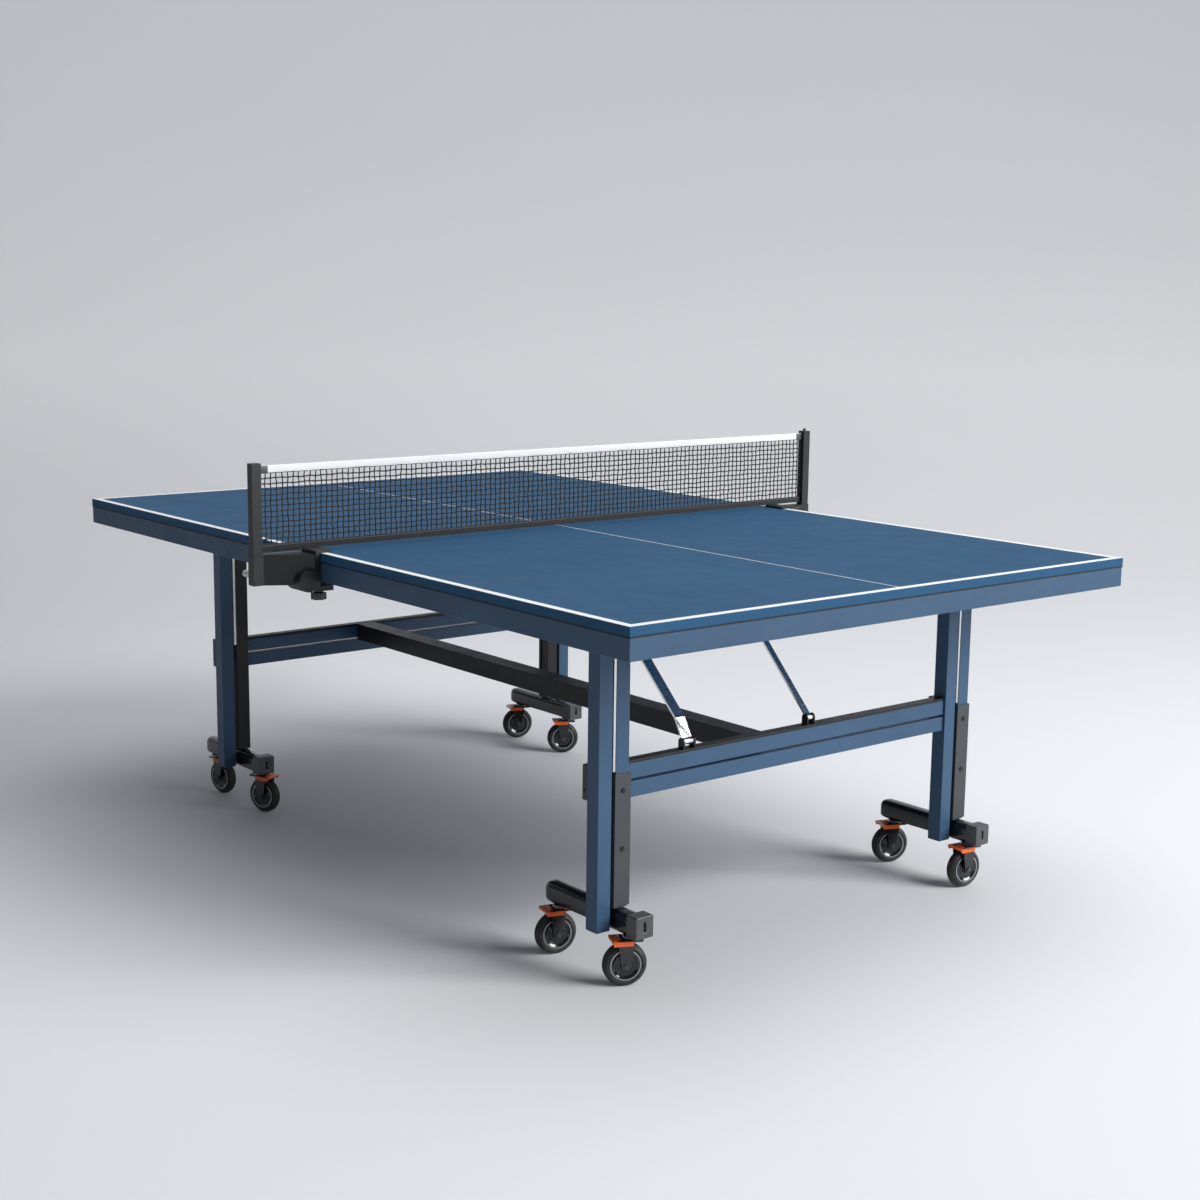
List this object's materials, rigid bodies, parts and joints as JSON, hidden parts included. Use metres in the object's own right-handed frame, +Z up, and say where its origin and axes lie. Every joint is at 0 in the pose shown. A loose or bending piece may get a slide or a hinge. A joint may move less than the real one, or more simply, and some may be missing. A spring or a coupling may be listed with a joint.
{
  "type": "ping pong table",
  "caption": "Folding ping pong table: two blue halves on post legs with rails, a centre beam, braked twin casters and a lift-off clamp-on net.",
  "frame": {"origin": "on the floor under the middle of the table", "axes": "+X along the table towards its near end, +Y across it to the right, +Z up"},
  "size_m": [2.4, 1.807, 1.047],
  "materials": {
    "blue_metal": "satin powder coat",
    "black_metal": "satin powder coat",
    "grey_metal": "satin",
    "navy_metal": "satin",
    "apron_wood": "satin paint",
    "bright_steel": "brushed",
    "stay_chrome": "polished",
    "dark_bolts": "satin",
    "board_wood": "matte playing paint",
    "black_plastic": "fine grain",
    "screw_plastic": "fine grain",
    "net_fabric": "woven",
    "band_fabric": "woven",
    "tape_fabric": "woven",
    "fork_plastic": "gloss",
    "wheel_rubber": "satin",
    "orange_plastic": "gloss"
  },
  "bodies": {
    "frame": {"long_posts": "blue_metal", "short_posts_near": "blue_metal", "short_posts_far": "black_metal", "post_sleeves": "grey_metal", "guide_strips": "bright_steel", "leg_heads": "navy_metal", "rails": "blue_metal", "rail_strips": "black_metal", "centre_beam": "black_metal", "caster_bars": "black_metal", "bar_caps": "grey_metal", "hinge_ears": "grey_metal", "hinge_pins": "bright_steel", "frame_bolts": "dark_bolts", "latch_plates": "grey_metal", "stay_brackets": "black_metal"},
    "half_a": {"board_a": "board_wood", "apron_a": "apron_wood", "ribs_a": "navy_metal", "fittings_a": "grey_metal", "net_bracket_l": "black_plastic", "net_bracket_r": "black_plastic"},
    "half_b": {"board_b": "board_wood", "apron_b": "apron_wood", "ribs_b": "navy_metal", "fittings_b": "grey_metal"},
    "stay_a1": {"strap_a": "stay_chrome"},
    "stay_a2": {"slim_stay_a": "stay_chrome"},
    "stay_b1": {"strap_b": "stay_chrome"},
    "stay_b2": {"slim_stay_b": "stay_chrome"},
    "screw_l": {"clamp_screw_l": "screw_plastic"},
    "screw_r": {"clamp_screw_r": "screw_plastic"},
    "net_set": {"net_posts": "black_plastic", "net_cloth": "net_fabric", "net_band": "band_fabric", "net_tape": "tape_fabric"},
    "fork_body_1": {"fork_1": "fork_plastic"},
    "wheel_body_1": {"wheel_1": "wheel_rubber"},
    "lever_body_1": {"lever_1": "orange_plastic"},
    "fork_body_2": {"fork_2": "fork_plastic"},
    "wheel_body_2": {"wheel_2": "wheel_rubber"},
    "lever_body_2": {"lever_2": "orange_plastic"},
    "fork_body_3": {"fork_3": "fork_plastic"},
    "wheel_body_3": {"wheel_3": "wheel_rubber"},
    "lever_body_3": {"lever_3": "orange_plastic"},
    "fork_body_4": {"fork_4": "fork_plastic"},
    "wheel_body_4": {"wheel_4": "wheel_rubber"},
    "lever_body_4": {"lever_4": "orange_plastic"},
    "fork_body_5": {"fork_5": "fork_plastic"},
    "wheel_body_5": {"wheel_5": "wheel_rubber"},
    "lever_body_5": {"lever_5": "orange_plastic"},
    "fork_body_6": {"fork_6": "fork_plastic"},
    "wheel_body_6": {"wheel_6": "wheel_rubber"},
    "lever_body_6": {"lever_6": "orange_plastic"},
    "fork_body_7": {"fork_7": "fork_plastic"},
    "wheel_body_7": {"wheel_7": "wheel_rubber"},
    "lever_body_7": {"lever_7": "orange_plastic"},
    "fork_body_8": {"fork_8": "fork_plastic"},
    "wheel_body_8": {"wheel_8": "wheel_rubber"},
    "lever_body_8": {"lever_8": "orange_plastic"}
  },
  "joints": [
    {"name": "fold_a", "type": "hinge", "parent": "frame", "child": "half_a", "pos_m": [0.933, 0, 0.748], "axis": [0, 1, 0], "range_deg": [0, 90]},
    {"name": "fold_b", "type": "hinge", "parent": "frame", "child": "half_b", "pos_m": [-0.786, 0, 0.748], "axis": [0, -1, 0], "range_deg": [0, 90]},
    {"name": "stay_a1_swing", "type": "hinge", "parent": "frame", "child": "stay_a1", "pos_m": [0.9, -0.345, 0.4881], "axis": [0, -1, 0], "range_deg": [0, 36]},
    {"name": "stay_a2_swing", "type": "hinge", "parent": "frame", "child": "stay_a2", "pos_m": [0.9, 0.025, 0.4881], "axis": [0, -1, 0], "range_deg": [0, 36]},
    {"name": "stay_b1_swing", "type": "hinge", "parent": "frame", "child": "stay_b1", "pos_m": [-0.753, 0.215, 0.4881], "axis": [0, 1, 0], "range_deg": [0, 36]},
    {"name": "stay_b2_swing", "type": "hinge", "parent": "frame", "child": "stay_b2", "pos_m": [-0.753, 0.285, 0.4881], "axis": [0, 1, 0], "range_deg": [0, 36]},
    {"name": "clamp_l_turn", "type": "hinge", "parent": "half_a", "child": "screw_l", "pos_m": [0.033, -0.7445, 0.732], "axis": [0, 0, 1], "range_deg": [0, 720]},
    {"name": "clamp_r_turn", "type": "hinge", "parent": "half_a", "child": "screw_r", "pos_m": [0.033, 0.7445, 0.732], "axis": [0, 0, 1], "range_deg": [0, 720]},
    {"name": "net_lift", "type": "slide", "parent": "half_a", "child": "net_set", "axis": [0, 0, 1], "range_m": [0, 0.06]},
    {"name": "swivel_1", "type": "hinge", "parent": "frame", "child": "fork_body_1", "pos_m": [0.72, -0.541, 0.112], "axis": [0, 0, 1], "continuous": true},
    {"name": "spin_1", "type": "hinge", "parent": "fork_body_1", "child": "wheel_body_1", "pos_m": [0.71531, -0.55734, 0.048], "axis": [-0.9613, 0.2756, 0], "continuous": true},
    {"name": "brake_1", "type": "hinge", "parent": "fork_body_1", "child": "lever_body_1", "pos_m": [0.71145, -0.5708, 0.1015], "axis": [0.9613, -0.2756, 0], "range_deg": [0, 14]},
    {"name": "swivel_2", "type": "hinge", "parent": "frame", "child": "fork_body_2", "pos_m": [0.96, -0.541, 0.112], "axis": [0, 0, 1], "continuous": true},
    {"name": "spin_2", "type": "hinge", "parent": "fork_body_2", "child": "wheel_body_2", "pos_m": [0.95255, -0.55628, 0.048], "axis": [-0.8988, 0.4384, 0], "continuous": true},
    {"name": "brake_2", "type": "hinge", "parent": "fork_body_2", "child": "lever_body_2", "pos_m": [0.94641, -0.56886, 0.1015], "axis": [0.8988, -0.4384, 0], "range_deg": [0, 14]},
    {"name": "swivel_3", "type": "hinge", "parent": "frame", "child": "fork_body_3", "pos_m": [0.72, 0.541, 0.112], "axis": [0, 0, 1], "continuous": true},
    {"name": "spin_3", "type": "hinge", "parent": "fork_body_3", "child": "wheel_body_3", "pos_m": [0.71363, 0.52524, 0.048], "axis": [-0.9272, 0.3746, 0], "continuous": true},
    {"name": "brake_3", "type": "hinge", "parent": "fork_body_3", "child": "lever_body_3", "pos_m": [0.70839, 0.51226, 0.1015], "axis": [0.9272, -0.3746, 0], "range_deg": [0, 14]},
    {"name": "swivel_4", "type": "hinge", "parent": "frame", "child": "fork_body_4", "pos_m": [0.96, 0.541, 0.112], "axis": [0, 0, 1], "continuous": true},
    {"name": "spin_4", "type": "hinge", "parent": "fork_body_4", "child": "wheel_body_4", "pos_m": [0.95763, 0.52416, 0.048], "axis": [-0.9903, 0.1392, 0], "continuous": true},
    {"name": "brake_4", "type": "hinge", "parent": "fork_body_4", "child": "lever_body_4", "pos_m": [0.95569, 0.5103, 0.1015], "axis": [0.9903, -0.1392, 0], "range_deg": [0, 14]},
    {"name": "swivel_5", "type": "hinge", "parent": "frame", "child": "fork_body_5", "pos_m": [-0.89, -0.541, 0.112], "axis": [0, 0, 1], "continuous": true},
    {"name": "spin_5", "type": "hinge", "parent": "fork_body_5", "child": "wheel_body_5", "pos_m": [-0.87337, -0.53747, 0.048], "axis": [0.2079, -0.9781, 0], "continuous": true},
    {"name": "brake_5", "type": "hinge", "parent": "fork_body_5", "child": "lever_body_5", "pos_m": [-0.85968, -0.53456, 0.1015], "axis": [-0.2079, 0.9781, 0], "range_deg": [0, 14]},
    {"name": "swivel_6", "type": "hinge", "parent": "frame", "child": "fork_body_6", "pos_m": [-0.65, -0.541, 0.112], "axis": [0, 0, 1], "continuous": true},
    {"name": "spin_6", "type": "hinge", "parent": "fork_body_6", "child": "wheel_body_6", "pos_m": [-0.63424, -0.53463, 0.048], "axis": [0.3746, -0.9272, 0], "continuous": true},
    {"name": "brake_6", "type": "hinge", "parent": "fork_body_6", "child": "lever_body_6", "pos_m": [-0.62126, -0.52939, 0.1015], "axis": [-0.3746, 0.9272, 0], "range_deg": [0, 14]},
    {"name": "swivel_7", "type": "hinge", "parent": "frame", "child": "fork_body_7", "pos_m": [-0.89, 0.541, 0.112], "axis": [0, 0, 1], "continuous": true},
    {"name": "spin_7", "type": "hinge", "parent": "fork_body_7", "child": "wheel_body_7", "pos_m": [-0.89581, 0.52502, 0.048], "axis": [-0.9397, 0.342, 0], "continuous": true},
    {"name": "brake_7", "type": "hinge", "parent": "fork_body_7", "child": "lever_body_7", "pos_m": [-0.9006, 0.51187, 0.1015], "axis": [0.9397, -0.342, 0], "range_deg": [0, 14]},
    {"name": "swivel_8", "type": "hinge", "parent": "frame", "child": "fork_body_8", "pos_m": [-0.65, 0.541, 0.112], "axis": [0, 0, 1], "continuous": true},
    {"name": "spin_8", "type": "hinge", "parent": "fork_body_8", "child": "wheel_body_8", "pos_m": [-0.6585, 0.52628, 0.048], "axis": [-0.866, 0.5, 0], "continuous": true},
    {"name": "brake_8", "type": "hinge", "parent": "fork_body_8", "child": "lever_body_8", "pos_m": [-0.6655, 0.51415, 0.1015], "axis": [0.866, -0.5, 0], "range_deg": [0, 14]}
  ]
}
